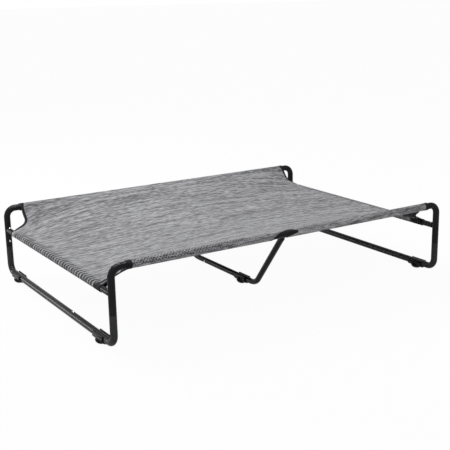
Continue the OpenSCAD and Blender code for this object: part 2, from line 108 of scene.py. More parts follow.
sleeve_low, sleeve_high = box_mm("sleeve_far")
hem_low, hem_high = box_mm("hem_right")
rail_low, rail_high = box_mm("rail_far_right")
bar_low, bar_high = box_mm("cross_bar_right")
RAIL_Y = (sleeve_low.y + sleeve_high.y) / 2
RAIL_Z = (sleeve_low.z + sleeve_high.z) / 2
RAIL_R = rail_high.z - RAIL_Z
CROSS_X = (hem_low.x + hem_high.x) / 2
CROSS_Z = (hem_low.z + hem_high.z) / 2
CROSS_R = (bar_high.x - bar_low.x) / 2
SIDE_END = sleeve_high.x
HEM_END = hem_high.y
print(f"rail axis {RAIL_Y:.1f}, {RAIL_Z:.1f}, radius {RAIL_R:.2f}, sleeve to {SIDE_END:.1f}")
print(f"cross bar {CROSS_X:.1f}, {CROSS_Z:.1f}, radius {CROSS_R:.2f}, hem to {HEM_END:.1f}")

# %% [markdown]
# ## Helpers for colours, shader nodes and finishes
# Colours are written as the sRGB hex values a screen shows, and turned into the linear values a
# renderer needs. A shader node is added with its own settings and with a value or a link for each
# input, so a material reads as a list of what it is made of. A colour ramp's stops are a setting too.
# Plated, sprayed and moulded skins, and thread, are all grains of noise that shade a colour and shape
# a gloss or a bump, so one function makes such a finish from a short list.

# %% Colour and node helpers
def colour(hex_value):
    """Linear RGBA of an sRGB hex colour."""
    parts = [int(hex_value[i:i + 2], 16) / 255 for i in (1, 3, 5)]
    return [c / 12.92 if c <= 0.04045 else ((c + 0.055) / 1.055) ** 2.4 for c in parts] + [1]


def add(tree, kind, settings=None, inputs=None):
    """One shader node with its settings, and a value or a linked socket for each input."""
    made = tree.nodes.new("ShaderNode" + kind)
    for key, value in (settings or {}).items():
        if key == "stops":
            elements = made.color_ramp.elements
            while len(elements) < len(value):
                elements.new(0.5)
            for element, (position, hex_value) in zip(elements, value):
                element.position = position
                element.color = colour(hex_value)
        else:
            setattr(made, key, value)
    for key, value in (inputs or {}).items():
        if isinstance(value, bpy.types.NodeSocket):
            tree.links.new(value, made.inputs[key])
        else:
            made.inputs[key].default_value = value
    return made


def new_material(name):
    """An empty node material and its tree."""
    made = bpy.data.materials.new(name)
    made.use_nodes = True
    made.node_tree.nodes.clear()
    return made, made.node_tree


def grained_finish(name, grains, shade, inputs, rough=None, bump=None):
    """A finish from grains of noise: one shades its colour, and one may set its gloss or its bump."""
    material, tree = new_material(name)
    place = add(tree, "TexCoord").outputs["Object"]
    noise = {label: add(tree, "TexNoise", None,
                        {"Vector": place, "Scale": 1 / (size * MM), "Detail": detail}).outputs[0]
             for label, (size, detail) in grains.items()}
    label, stops = shade
    inputs["Base Color"] = add(tree, "ValToRGB", {"stops": stops}, {"Fac": noise[label]}).outputs[0]
    if rough:
        label, least, most = rough
        inputs["Roughness"] = add(tree, "MapRange", None, {
            "Value": noise[label], "To Min": least, "To Max": most}).outputs[0]
    if bump:
        label, strength, depth = bump
        inputs["Normal"] = add(tree, "Bump", None, {
            "Height": noise[label], "Strength": strength, "Distance": depth * MM}).outputs[0]
    shader = add(tree, "BsdfPrincipled", None, inputs)
    add(tree, "OutputMaterial", None, {"Surface": shader.outputs[0]})
    return material


print("white is", colour("#ffffff"))

# %% [markdown]
# ## Powder-coated steel tube
# The frame is steel tube, sprayed with dry powder and baked: black on the rails, cross bars and middle
# support. The end frames take a dark grey copy of the same coat. That grey is painted light: it stands in for
# the floor's light on the lower legs and bars. The coat flows as it melts and leaves a satin skin with a
# slight orange peel, so highlights are soft but clear and break up a little. Real orange peel is about 1 mm
# across. It is drawn at 2 mm so that it shows. The coat mirrors little, so it stays dark in a white room.

# %% Powder-coated steel
ORANGE_PEEL = 2.0
COAT_DRIFT = 60.0
COAT_ROUGH = (0.15, 0.28)
COAT_GLOSS = 0.04


def powder_coat(name, dark, pale):
    """Satin powder coat: colour drifts slowly, gloss and bump follow the orange peel."""
    return grained_finish(
        name, {"drift": (COAT_DRIFT, 2.0), "peel": (ORANGE_PEEL, 1.0)}, ("drift", [(0.3, dark), (0.7, pale)]),
        {"Specular IOR Level": COAT_GLOSS}, rough=("peel", *COAT_ROUGH), bump=("peel", 0.05, 0.15))


powder_black = powder_coat("powder_coated_steel_black", "#232325", "#2b2b2d")
# The end frames' dark grey is the black coat made lighter, as painted light from the floor.
powder_painted_floor_light = powder_coat("powder_coated_steel_painted_floor_light", "#393a3a", "#434344")
print("made", powder_black.name, "and", powder_painted_floor_light.name)

# %% [markdown]
# ## Zinc-plated steel
# The buttons, bolts and inserts are pressed and turned steel with a bright zinc plating. It is a
# metal, so its colour tints the reflection, and a fine crystal bloom clouds its gloss here and there.

# %% Zinc-plated steel
ZINC_BLOOM = 1.6
zinc = grained_finish(
    "zinc_plated_steel", {"bloom": (ZINC_BLOOM, 4.0)}, ("bloom", [(0.3, "#b4b5b4"), (0.7, "#d6d7d8")]),
    {"Metallic": 1.0}, rough=("bloom", 0.2, 0.42))
print("made", zinc.name)

# %% [markdown]
# ## Moulded rubber
# The feet are moulded from soft black rubber. The mould is spark-eroded, so the skin is matt with a
# fine grain, and handling polishes it unevenly. The grain is drawn at 0.8 mm so that it shows.

# %% Moulded rubber
RUBBER_GRAIN = 0.8
RUBBER_POLISH = 12.0
rubber = grained_finish(
    "moulded_black_rubber", {"grain": (RUBBER_GRAIN, 2.0), "polish": (RUBBER_POLISH, 2.0)},
    ("polish", [(0.35, "#0f0f10"), (0.65, "#171718")]), {"Specular IOR Level": 0.06},
    rough=("polish", 0.26, 0.42), bump=("grain", 0.25, 0.1))
print("made", rubber.name)

# %% [markdown]
# ## Woven mesh of coated yarn
# The sheet is an open mesh woven from polyester yarn with a skin of grey vinyl. Light and dark yarns
# alternate, so the cloth is heathered in short streaks along the cot. Between the yarns are small
# gaps: over a black tube they read dark, and elsewhere the light under the sheet comes through.
# Along the hems two layers lie over each other, and their yarns make dark and light bars.
# Real yarns are about 1 mm thick. So that they show, the ribs are drawn at 5.4 mm, the weft at
# 6.6 mm, the gaps over a tube as dashes of 10 by 6 mm, and the bars at 18 mm. The pattern follows the
# cloth round its loops, so it reads the sheet's own map, laid out in metres, and two marks kept on
# its points.

# %% Woven mesh
RIB_PITCH, WEFT_PITCH = 5.4, 6.6
BAR_PITCH = 18.0
DASH_PITCH, DASH_ROW = 10.0, 6.0
RIB_DARK, WEFT_DARK, DASH_DARK, BAR_DARK = 0.16, 0.22, 0.55, 0.7
# Length, height, detail and weight of each size of streak
STREAKS = {"band": (300.0, 13.0, 2.0, 0.26), "fine": (20.0, 2.4, 1.0, 0.34), "long": (44.0, 4.0, 2.0, 0.4)}


def woven_mesh(name, dark, middle, pale):
    """Grey mesh: streaks along the warp, ribs and weft as bump, dark gaps over the tubes."""
    material, tree = new_material(name)
    cloth = add(tree, "UVMap", {"uv_map": "cloth"}).outputs[0]
    on_tube = add(tree, "Attribute", {"attribute_name": "tube_behind"}).outputs["Fac"]
    on_hem = add(tree, "Attribute", {"attribute_name": "hem_layers"}).outputs["Fac"]
    part = add(tree, "SeparateXYZ", None, {0: cloth})

    # Streaks of three sizes, weighted so that they never reach pure light or dark together.
    streak, heather = {}, 0.0
    for label, (length, width, detail, weight) in STREAKS.items():
        scaled = add(tree, "VectorMath", {"operation": "MULTIPLY"},
                     {0: cloth, 1: (1 / (length * MM), 1 / (width * MM), 1)})
        streak[label] = add(tree, "TexNoise", {"noise_dimensions": "2D"},
                            {"Vector": scaled.outputs[0], "Scale": 1.0, "Detail": detail}).outputs[0]
        heather = add(tree, "Math", {"operation": "MULTIPLY_ADD"},
                      {0: streak[label], 1: weight, 2: heather}).outputs[0]
    yarn = add(tree, "ValToRGB", {"stops": [(0.41, dark), (0.5, middle), (0.59, pale)]}, {"Fac": heather})

    # Ribs along the cloth, weft across it, the bars of the hems, and the dashes over a tube.
    swing = {}
    for label, axis, pitch, kind in (
            ("rib", "Y", RIB_PITCH, "SINE"), ("weft", "X", WEFT_PITCH, "SINE"),
            ("bar", "Y", BAR_PITCH, "SINE"), ("dash", "X", DASH_PITCH, "COSINE"),
            ("row", "Y", 2 * DASH_ROW, "COSINE")):
        angle = add(tree, "Math", {"operation": "MULTIPLY"},
                    {0: part.outputs[axis], 1: 2 * math.pi / (pitch * MM)})
        swing[label] = add(tree, "Math", {"operation": kind}, {0: angle.outputs[0]}).outputs[0]
    wave = {label: add(tree, "MapRange", None, {"Value": swing[label], "From Min": -1.0}).outputs[0]
            for label in ("rib", "weft", "bar")}

    # Gaps between the yarns: faint on the open sheet, dark dashes in staggered rows over a tube.
    brick = add(tree, "Math", {"operation": "MULTIPLY"}, {0: swing["dash"], 1: swing["row"]})
    uneven = add(tree, "Math", {"operation": "MULTIPLY_ADD"},
                 {0: streak["fine"], 1: -0.8, 2: brick.outputs[0]})
    gap = add(tree, "MapRange", None, {"Value": uneven.outputs[0], "From Min": -0.45, "From Max": -0.2})
    tube_gap = add(tree, "Math", {"operation": "MULTIPLY"}, {0: gap.outputs[0], 1: on_tube})
    rib_gap = add(tree, "MapRange", None, {"Value": wave["rib"], "From Min": 0.5, "From Max": 0.0})
    bar = add(tree, "MapRange", None, {"Value": wave["bar"], "From Min": 0.6, "From Max": 0.4})
    bar_gap = add(tree, "Math", {"operation": "MULTIPLY"}, {0: bar.outputs[0], 1: on_hem})
    shadow = add(tree, "Math", {"operation": "MULTIPLY"}, {0: wave["weft"], 1: WEFT_DARK})
    for dark_part, weight in ((rib_gap, RIB_DARK), (tube_gap, DASH_DARK), (bar_gap, BAR_DARK)):
        shadow = add(tree, "Math", {"operation": "MULTIPLY_ADD"},
                     {0: dark_part.outputs[0], 1: weight, 2: shadow.outputs[0]})
    shadow.use_clamp = True
    surface = add(tree, "Mix", {"data_type": "RGBA"},
                  {"Factor": shadow.outputs[0], "A": yarn.outputs[0], "B": colour("#1b1b1d")})

    height = add(tree, "Math", {"operation": "MULTIPLY_ADD"}, {0: wave["weft"], 1: 0.5, 2: wave["rib"]})
    bump = add(tree, "Bump", None, {"Height": height.outputs[0], "Strength": 0.35, "Distance": 0.35 * MM})
    shader = add(tree, "BsdfPrincipled", None, {
        "Base Color": surface.outputs[2],
        "Roughness": 0.74,
        "Specular IOR Level": 0.06,
        "Sheen Weight": 0.06,
        "Sheen Roughness": 0.5,
        "Normal": bump.outputs[0],
    })
    add(tree, "OutputMaterial", None, {"Surface": shader.outputs[0]})
    return material


mesh_cloth = woven_mesh("woven_vinyl_coated_polyester_mesh", "#6c6c70", "#a0a0a2", "#cdcdd0")
print("made", mesh_cloth.name)

# %% [markdown]
# ## Woven tape and thread
# The cut edges are bound with flat polyester tape. It is woven with small ribs across its width,
# which catch the light as fine lines, and its loose fibres give it a little sheen. Thread is twisted
# polyester. The tape's ribs are about 0.7 mm wide and are drawn at 1.6 mm, or at 4 mm on the broad
# grey facing tape.

# %% Tape and thread
TAPE_FADE = 20.0
THREAD_TWIST = 0.9


def woven_tape(name, dark, pale, rib_pitch, contrast):
    """Tape with ribs across its width, which also shade its colour by the given contrast."""
    material, tree = new_material(name)
    strip = add(tree, "UVMap", {"uv_map": "cloth"}).outputs[0]
    along = add(tree, "SeparateXYZ", None, {0: strip}).outputs["X"]
    angle = add(tree, "Math", {"operation": "MULTIPLY"}, {0: along, 1: 2 * math.pi / (rib_pitch * MM)})
    rib = add(tree, "Math", {"operation": "SINE"}, {0: angle.outputs[0]})
    place = add(tree, "TexCoord").outputs["Object"]
    fade = add(tree, "TexNoise", None, {"Vector": place, "Scale": 1 / (TAPE_FADE * MM), "Detail": 3.0})
    tone = add(tree, "Math", {"operation": "MULTIPLY_ADD"},
               {0: rib.outputs[0], 1: contrast, 2: fade.outputs[0]})
    shade = add(tree, "ValToRGB", {"stops": [(0.3, dark), (0.7, pale)]}, {"Fac": tone.outputs[0]})
    bump = add(tree, "Bump", None, {"Height": rib.outputs[0], "Strength": 0.4, "Distance": 0.2 * MM})
    shader = add(tree, "BsdfPrincipled", None, {
        "Base Color": shade.outputs[0],
        "Roughness": 0.82,
        "Specular IOR Level": 0.06,
        "Sheen Weight": 0.06,
        "Normal": bump.outputs[0],
    })
    add(tree, "OutputMaterial", None, {"Surface": shader.outputs[0]})
    return material


tape_black = woven_tape("woven_polyester_tape_black", "#17171a", "#232327", 1.6, 0.06)
tape_grey = woven_tape("woven_polyester_tape_grey", "#8a8a8c", "#bcbcbe", 4.0, 0.22)
thread = grained_finish(
    "twisted_polyester_thread", {"twist": (THREAD_TWIST, 1.0)},
    ("twist", [(0.35, "#48484a"), (0.65, "#68686a")]), {"Roughness": 0.6}, bump=("twist", 0.3, 0.1))
print("made", tape_black.name, tape_grey.name, "and", thread.name)

# %% [markdown]
# ## Finishes of the frame's own pieces
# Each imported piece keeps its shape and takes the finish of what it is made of. The pieces are named
# for what they are, so the start of a name is enough to choose.

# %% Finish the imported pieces
FINISH_BY_NAME = {
    "rail_insert": zinc, "rail": powder_black, "end_frame": powder_painted_floor_light,
    "middle_frame": powder_black, "cross_bar": powder_black, "leg_button": zinc,
    "bar_button": zinc, "cross_button": zinc, "pivot_bolt": zinc,
}
finished = 0
for name, piece in nodes.items():
    finish = next((m for start, m in FINISH_BY_NAME.items() if name.startswith(start)), None)
    if finish:
        piece.data.materials.clear()
        piece.data.materials.append(finish)
        finished += 1
print("finished", finished, "packed pieces")

# %% [markdown]
# ## Rubber feet
# Each foot is one rubber moulding: a clip that snaps over the bar, with two rolled lips and a flat
# band along each side, and a squat knob below that stands on the floor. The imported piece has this
# form too, a little smaller and with sharp edges. Here the clip and the knob are shaped one by one
# and joined with booleans, as a mould maker cuts both into one cavity, and the bar is cut out last.
# The manifold solver is used because it gives the same closed mesh on every run.

# %% Tools for modelling
MERGE = 0.005


def only(piece):
    """Select one object alone and make it active."""
    bpy.ops.object.select_all(action="DESELECT")
    bpy.context.view_layer.objects.active = piece
    piece.select_set(True)


@contextmanager
def editing():
    """Edit mode with everything selected, and back to object mode."""
    bpy.ops.object.mode_set(mode="EDIT")
    bpy.ops.mesh.select_all(action="SELECT")
    yield
    bpy.ops.object.mode_set(mode="OBJECT")


def apply_modifier(piece, kind, **settings):
    """One modifier, set and applied."""
    modifier = piece.modifiers.new(kind.title(), kind)
    for key, value in settings.items():
        setattr(modifier, key, value)
    only(piece)
    bpy.ops.object.modifier_apply(modifier=modifier.name)


def combine(piece, other, operation):
    """A boolean of two objects. The second one is used up."""
    apply_modifier(piece, "BOOLEAN", object=other, operation=operation, solver="MANIFOLD")
    bpy.data.objects.remove(other)


def tidy_mesh(piece):
    """Merged doubles and outward normals."""
    only(piece)
    with editing():
        bpy.ops.mesh.remove_doubles(threshold=MERGE * MM)
        bpy.ops.mesh.normals_make_consistent(inside=False)


print("tools: only, editing, apply_modifier, combine, tidy_mesh")

# %% Knob and rods
KNOB_R, KNOB_SQUASH, KNOB_Z = 20, 0.68, 12.2
SOLE_RIM, SOLE_DEPTH = 2.5, 1.2
ROD_SIDES = 64
AT_FLOOR = 0.01


def rod_along_y(radius, length, x, z):
    """A round rod along Y, with its middle at x and z."""
    bpy.ops.object.select_all(action="DESELECT")
    bpy.ops.mesh.primitive_cylinder_add(vertices=ROD_SIDES, radius=radius * MM, depth=length * MM)
    with editing():
        bpy.ops.transform.rotate(value=math.pi / 2, orient_axis="X", center_override=(0, 0, 0))
        bpy.ops.transform.translate(value=(x * MM, 0, z * MM))
    return bpy.context.active_object


def knob():
    """A squat ball, cut flat at the floor, with a shallow recess in its sole."""
    bpy.ops.object.select_all(action="DESELECT")
    bpy.ops.mesh.primitive_uv_sphere_add(segments=48, ring_count=24, radius=KNOB_R * MM)
    made = bpy.context.active_object
    with editing():
        bpy.ops.transform.resize(value=(1, 1, KNOB_SQUASH))
        bpy.ops.transform.translate(value=(0, 0, KNOB_Z * MM))
        bpy.ops.mesh.bisect(plane_co=(0, 0, 0), plane_no=(0, 0, 1), clear_inner=True, use_fill=True)
        bpy.ops.mesh.select_mode(type="FACE")
        bpy.ops.mesh.select_all(action="DESELECT")
    for face in made.data.polygons:
        face.select = abs(face.center.z) < AT_FLOOR * MM
    bpy.ops.object.mode_set(mode="EDIT")
    bpy.ops.mesh.inset(thickness=SOLE_RIM * MM)
    bpy.ops.mesh.extrude_region_move(TRANSFORM_OT_translate={"value": (0, 0, SOLE_DEPTH * MM)})
    bpy.ops.object.mode_set(mode="OBJECT")
    return made


print("knob", 2 * KNOB_R, "mm across")

# %% Model one foot for each bar and copy it
FOOT_RISE = box_mm("end_frame_left_near")[0].z
FOOT_LENGTH = 64
FOOT_SHIFT = 4
GRIP_WALL, GRIP_GAP = 4, 0.06
LIP_R, LIP_SHARE = 2.5, 0.35
CLIP_EDGE, SHARP = 1.0, math.radians(40)
BAND_HALF, BAND_TILT = (1.3, 4.4), math.radians(24)
BAND_SUNK, BAND_SHORT = 0.2, 4


def side_band(side, outer, axis):
    """The flat raised band along one side of a clip, leaning back a little."""
    band = rod_along_y(1, FOOT_LENGTH - BAND_SHORT, 0, 0)
    with editing():
        bpy.ops.transform.resize(value=(BAND_HALF[0], 1, BAND_HALF[1]))
        bpy.ops.transform.rotate(value=side * BAND_TILT, orient_axis="Y", center_override=(0, 0, 0))
        bpy.ops.transform.translate(value=(side * (outer - BAND_SUNK) * MM, 0, axis * MM))
    return band


def foot_shape(bar_d):
    """A foot for a bar of the given diameter, under the middle of the bar."""
    axis, outer, lip_z = FOOT_RISE + bar_d / 2, bar_d / 2 + GRIP_WALL, LIP_SHARE * bar_d
    lip_x = math.sqrt((bar_d / 2 + LIP_R) ** 2 - lip_z ** 2)
    clip = rod_along_y(outer, FOOT_LENGTH, 0, axis)
    with editing():
        bpy.ops.mesh.bisect(plane_co=(0, 0, (axis + lip_z) * MM), plane_no=(0, 0, 1),
                            clear_outer=True, use_fill=True)
    apply_modifier(clip, "BEVEL", width=CLIP_EDGE * MM, segments=2, limit_method="ANGLE", angle_limit=SHARP)
    for side in (-1, 1):
        combine(clip, rod_along_y(LIP_R, FOOT_LENGTH, side * lip_x, axis + lip_z), "UNION")
        combine(clip, side_band(side, outer, axis), "UNION")
    combine(clip, knob(), "UNION")
    combine(clip, rod_along_y(bar_d / 2 + GRIP_GAP, 2 * FOOT_LENGTH, 0, axis), "DIFFERENCE")
    tidy_mesh(clip)
    bpy.ops.object.shade_smooth_by_angle(angle=math.radians(35))
    clip.data.materials.clear()
    clip.data.materials.append(rubber)
    return clip


def place_foot(shape, node, body):
    """A copy of a foot in the place of a packed one."""
    low, high = box_mm(node)
    place = (low + high) / 2
    inward = -math.copysign(FOOT_SHIFT, place.y)
    made = in_scene("rubber_" + node, shape.data.copy())
    made.data.transform(Matrix.Translation((place.x * MM, (place.y + inward) * MM, 0)))
    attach(made, body)
    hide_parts(node)


end_foot, middle_foot = foot_shape(2 * RAIL_R), foot_shape(2 * CROSS_R)
for corner in ("left_near", "left_far", "right_near", "right_far"):
    place_foot(end_foot, "foot_" + corner, "frame")
place_foot(middle_foot, "foot_middle", "middle_support")
print("faces in a foot:", len(end_foot.data.polygons), "and", len(middle_foot.data.polygons))
bpy.data.objects.remove(end_foot)
bpy.data.objects.remove(middle_foot)

# %% [markdown]
# ## The shape of the stretched sheet
# The sheet is held high along the rails and low along the cross bars. A film stretched between such
# edges takes the smoothest surface that fits them, and near an end that has a neat formula: the
# height falls with the angle under which the low edge is seen. Each point is found from its place
# along the cot and its share of the half width. A simulation would also find this surface, but the
# formula gives the same result on every run and keeps the weave straight.

# %% Sheet surface
CLOTH_T = 0.9
CLOTH_GAP = 0.5
LAYER_GAP = 0.1
WRAP_MIDDLE = 18
WRAP_END = 44
SIDE_HOLLOW = 1.15
DRAW_DOWN = 2
LOOP_R = RAIL_R + CLOTH_GAP + CLOTH_T / 2
HEM_R = CROSS_R + CLOTH_GAP + CLOTH_T / 2
LOW_Z = CROSS_Z + HEM_R


def wrap(x):
    """Angle from the top of a rail to where the sheet leaves it, in radians."""
    return math.radians(WRAP_MIDDLE + (WRAP_END - WRAP_MIDDLE) * (abs(x) / CROSS_X) ** 4)


def pull(share, distance):
    """How far the low end draws the sheet down at a distance from it, from 0 to 1."""
    return math.atan2(share, math.sinh(math.pi * distance / (DRAW_DOWN * 2 * RAIL_Y))) * 2 / math.pi


def half_width(x):
    """Distance from the middle of the cot to where the sheet leaves a rail."""
    return RAIL_Y - LOOP_R * math.sin(wrap(x))


def clear_of_rails(point):
    """The point, moved out to the loop's radius where it lies inside a rail's sleeve."""
    side = math.copysign(1, point.y)
    out = Vector((0, point.y - side * RAIL_Y, point.z - RAIL_Z))
    if out.length < LOOP_R:
        out *= LOOP_R / out.length
        return Vector((point.x, side * RAIL_Y + out.y, RAIL_Z + out.z))
    return point


def sheet_point(x, s):
    """Middle of the cloth at x, at a share s of the half width from -1 to 1."""
    side_z = RAIL_Z + LOOP_R * math.cos(wrap(x))
    hollow = 1 + (SIDE_HOLLOW - 1) * (abs(x) / CROSS_X) ** 4
    profile = max(0.0, math.cos(math.pi / 2 * s)) ** hollow
    dip = min(1.0, pull(profile, CROSS_X - x) + pull(profile, CROSS_X + x))
    return clear_of_rails(Vector((x, half_width(x) * s, side_z - (side_z - LOW_Z) * dip)))


def sheet_at(x, y):
    """Middle of the cloth at x and y."""
    return sheet_point(x, y / half_width(x))


print(f"sheet: {sheet_point(0, 0).z:.1f} high in the middle, {LOW_Z:.1f} at the ends")

# %% [markdown]
# ## Loops round the rails
# Each long edge of the sheet goes over its rail, round it and back under the sheet, where it is
# sewn down, so in section the loop is a teardrop. Both legs of the drop are tangents to the rail and
# equally long, which gives the turn without any trial. A slot is left in each loop for the middle
# support. The rows of the loop bend to follow the slot's lips, so its edge is clean.

# %% Loop rows with the slot
SEAM_IN = 17
ALLOWANCE = 9
SLOT_LEN = 100
SLOT_X = -38.5
SLOT_DROP = 4.5
SLOT_UPPER = 10.5
SLOT_LOWER = -2.0
SLOT_TILT = math.radians(9.7)
SLOT_LEFT = -88
SLOT_RIGHT = 11
LEG_EDGE = -24.5
LIP_PLAIN = (math.radians(96), math.radians(104))
LIP_BLEND = 32
LIP_LIMIT, LIP_LEAST = 0.985, math.radians(1.5)
BOTTOM = math.pi
TOP_ROWS, LOW_ROWS, INNER_ROWS, RETURN_ROWS, ALLOWANCE_ROWS = 9, 5, 4, 4, 2


def lip_angle(x, sag):
    """Angle from the top of the loop, outwards, of one lip of the slot at x."""
    radius = (SLOT_LEN ** 2 / 4 + sag ** 2) / (2 * abs(sag))
    b = 0.0
    for _ in range(6):
        a = (x - SLOT_X + b * math.sin(SLOT_TILT)) / math.cos(SLOT_TILT)
        a = max(-SLOT_LEN / 2, min(SLOT_LEN / 2, a))
        b = math.copysign(math.sqrt(radius ** 2 - a ** 2) - radius + abs(sag), sag)
    height = a * math.sin(SLOT_TILT) + b * math.cos(SLOT_TILT) - SLOT_DROP
    return math.acos(max(-LIP_LIMIT, min(LIP_LIMIT, height / LOOP_R)))


def lips(x):
    """Angles of the two rows that bound the slot; away from the slot they lie side by side."""
    inside = max(SLOT_LEFT, min(SLOT_RIGHT, x))
    fade = min(1.0, abs(x - inside) / LIP_BLEND)
    upper, lower = lip_angle(inside, SLOT_UPPER), lip_angle(inside, SLOT_LOWER)
    lower = max(lower, upper + LIP_LEAST)
    return [bound + (plain - bound) * fade for bound, plain in zip((upper, lower), LIP_PLAIN)]


def spread(start, end, count):
    """The numbers after start, in equal steps up to end."""
    return [start + (end - start) * (k + 1) / count for k in range(count)]


def walk(points, distance):
    """The point at a distance along a line of points, and the line's heading there."""
    for a, b in zip(points, points[1:]):
        step = (b - a).length
        if distance <= step:
            return a.lerp(b, distance / step), (b - a).normalized()
        distance -= step
    return points[-1], (points[-1] - points[-2]).normalized()


def underside(point, heading, along):
    """The point one cloth lower, square to its heading and to the length of the cloth."""
    down = heading.cross(along).normalized()
    return point + (down if down.z < 0 else -down) * (CLOTH_T + LAYER_GAP)


def on_loop(x, angle):
    """Middle of the cloth on the far rail's loop at an angle from its top."""
    return Vector((x, RAIL_Y + LOOP_R * math.sin(angle), RAIL_Z + LOOP_R * math.cos(angle)))


def loop_points(x, inward):
    """The far loop at x, from the rail's top round to its seam. inward is the sheet from the rail in."""
    along = Vector((1, 0, 0))
    seam = underside(*walk(inward, SEAM_IN), along)
    to_seam = Vector((seam.y - RAIL_Y, seam.z - RAIL_Z))
    lean = math.atan2(-to_seam.x, to_seam.y)
    leave = 2 * math.pi - lean - math.acos(min(1.0, LOOP_R / to_seam.length))
    upper, lower = lips(x)
    angles = spread(-wrap(x), upper, TOP_ROWS) + [lower] + spread(lower, BOTTOM, LOW_ROWS)
    angles += spread(BOTTOM, leave, INNER_ROWS)
    points = [on_loop(x, a) for a in angles]
    points += [points[-1].lerp(seam, k) for k in spread(0, 1, RETURN_ROWS)]
    points += [underside(*walk(inward, SEAM_IN + k), along) for k in spread(0, ALLOWANCE, ALLOWANCE_ROWS)]
    return points


LIP_ROW = TOP_ROWS - 1
BOTTOM_ROW = LIP_ROW + 1 + LOW_ROWS
LEAVE_ROW = BOTTOM_ROW + INNER_ROWS
SEAM_ROW = LEAVE_ROW + RETURN_ROWS
LOOP_ROWS = SEAM_ROW + ALLOWANCE_ROWS + 1
print("loop radius", round(LOOP_R, 2), "rows in a loop:", LOOP_ROWS)

# %% [markdown]
# ## Rows, columns and cut-out corners
# Rows run along the cot and columns run across it, so the sheet with both loops is one grid. Each
# corner of the cut cloth is a square notch with a rounded inner corner. Past the end of the sleeves
# the grid goes on in narrower columns, whose outer ends follow that notch to the cross bar.

# %% Rows and columns
NOTCH_R = 20
MIDDLE_ROWS = 30
CORNER_ROWS = 12
END_COLUMNS = 44
ARC_COLUMNS = 9
STRAIGHT_COLUMNS = 9
ARC_S = (HEM_END + NOTCH_R) / half_width(SIDE_END)


def sleeve_columns():
    """Places along a sleeve, closer together at its ends and at the slot."""
    slot_from, slot_to = SLOT_LEFT - LIP_BLEND, SLOT_RIGHT + LIP_BLEND
    ease = [1 - math.cos(math.pi / 2 * k) for k in spread(0, 1, END_COLUMNS)]
    left = [-SIDE_END] + [-SIDE_END + (slot_from + SIDE_END) * k for k in ease]
    middle = spread(slot_from, SLOT_LEFT, 6) + spread(SLOT_LEFT, LEG_EDGE, 16)
    middle += spread(LEG_EDGE, SLOT_RIGHT, 9) + spread(SLOT_RIGHT, slot_to, 6)
    right = [SIDE_END + (slot_to - SIDE_END) * k for k in ease][::-1]
    return left + middle + right[1:] + [SIDE_END]


def end_columns():
    """Places from the end of a sleeve to the cross bar, each with the half width left by the notch."""
    turns = spread(0, math.pi / 2, ARC_COLUMNS)
    arc = [(SIDE_END + NOTCH_R * (1 - math.cos(a)), HEM_END + NOTCH_R * (1 - math.sin(a))) for a in turns]
    return arc + [(x, HEM_END) for x in spread(SIDE_END + NOTCH_R, CROSS_X, STRAIGHT_COLUMNS)]


shares = [0.0] + spread(0, ARC_S, MIDDLE_ROWS) + spread(ARC_S, 1, CORNER_ROWS)
stations = sleeve_columns()
HALF_ROWS = len(shares) + LOOP_ROWS
CENTRE_ROW = HALF_ROWS - 1
ROWS = 2 * HALF_ROWS - 1
print("rows", ROWS, "columns", len(stations), "and", len(end_columns()), "at each end")

# %% [markdown]
# ## The sheet as one grid
# The grid is filled point by point. Its map holds the distance along the cot and the distance across
# the cloth, measured once on one section, so the streaks of the weave stay parallel. Each end hem
# shares the last column and turns round its cross bar. Faces inside the slot are left out.

# %% Build the sheet
HEM_SEAM_IN = 20
HEM_TOP, HEM_RETURN = 14, 4
HEM_BARS, HEM_FADE = 12, 4
# The lower side of a loop shows the tube only faintly, as painted light from the floor.
HEM_DARK, LOWER_DARK_FLOOR_LIT = 0.4, 0.1
DASH_LEAST, DASH_FROM, DASH_REACH = 0.15, -50, 340


def panel_line(x):
    """Points across the far half of the sheet at x, from the middle to the rail."""
    return [sheet_point(x, s) for s in shares]


def far_half(x):
    """Points across the far half of the sheet at x, and then its loop."""
    panel = panel_line(x)
    return panel + loop_points(x, panel[::-1])


def mirrored(point):
    """The same point on the near side."""
    return Vector((point.x, -point.y, point.z))


def run_lengths(points):
    """Distance of each point along its line from the first."""
    lengths = [0.0]
    for a, b in zip(points, points[1:]):
        lengths.append(lengths[-1] + (b - a).length)
    return lengths


half_run = run_lengths(far_half(SIDE_END / 2))


def across(share):
    """Distance across the cloth from its middle at a share of the half width."""
    for k in range(len(shares) - 1):
        if abs(share) <= shares[k + 1]:
            part = (abs(share) - shares[k]) / (shares[k + 1] - shares[k])
            return math.copysign(half_run[k] + part * (half_run[k + 1] - half_run[k]), share)
    return math.copysign(half_run[len(shares) - 1], share)


def loop_row(row):
    """Number of a row within its loop, or a negative number on the sheet itself."""
    return abs(row - CENTRE_ROW) - len(shares)


def is_cut(row, x):
    """True for a face between a row and the next one outwards that lies in the slot."""
    number = loop_row(row)
    if not SLOT_LEFT < x < SLOT_RIGHT or number < LIP_ROW or number >= SEAM_ROW:
        return False
    return number == LIP_ROW or number >= BOTTOM_ROW or x < LEG_EDGE


def hem_points(end, y):
    """The hem round a cross bar, from the top of the bar to its seam under the sheet."""
    inboard = [sheet_at(end * (CROSS_X - k), y) for k in range(0, HEM_SEAM_IN + ALLOWANCE + 4, 2)]
    side = Vector((0, 1, 0))
    seam = underside(*walk(inboard, HEM_SEAM_IN), side)
    to_seam = Vector((CROSS_X - end * seam.x, seam.z - CROSS_Z))
    lean = math.atan2(to_seam.x, to_seam.y)
    leave = 2 * math.pi - lean - math.acos(min(1.0, HEM_R / to_seam.length))
    points = [Vector((end * (CROSS_X + HEM_R * math.sin(a)), y, CROSS_Z + HEM_R * math.cos(a)))
              for a in spread(0, leave, HEM_TOP)]
    points += [points[-1].lerp(Vector((seam.x, y, seam.z)), k) for k in spread(0, 1, HEM_RETURN)]
    points.append(underside(*walk(inboard, HEM_SEAM_IN + ALLOWANCE), side))
    return points


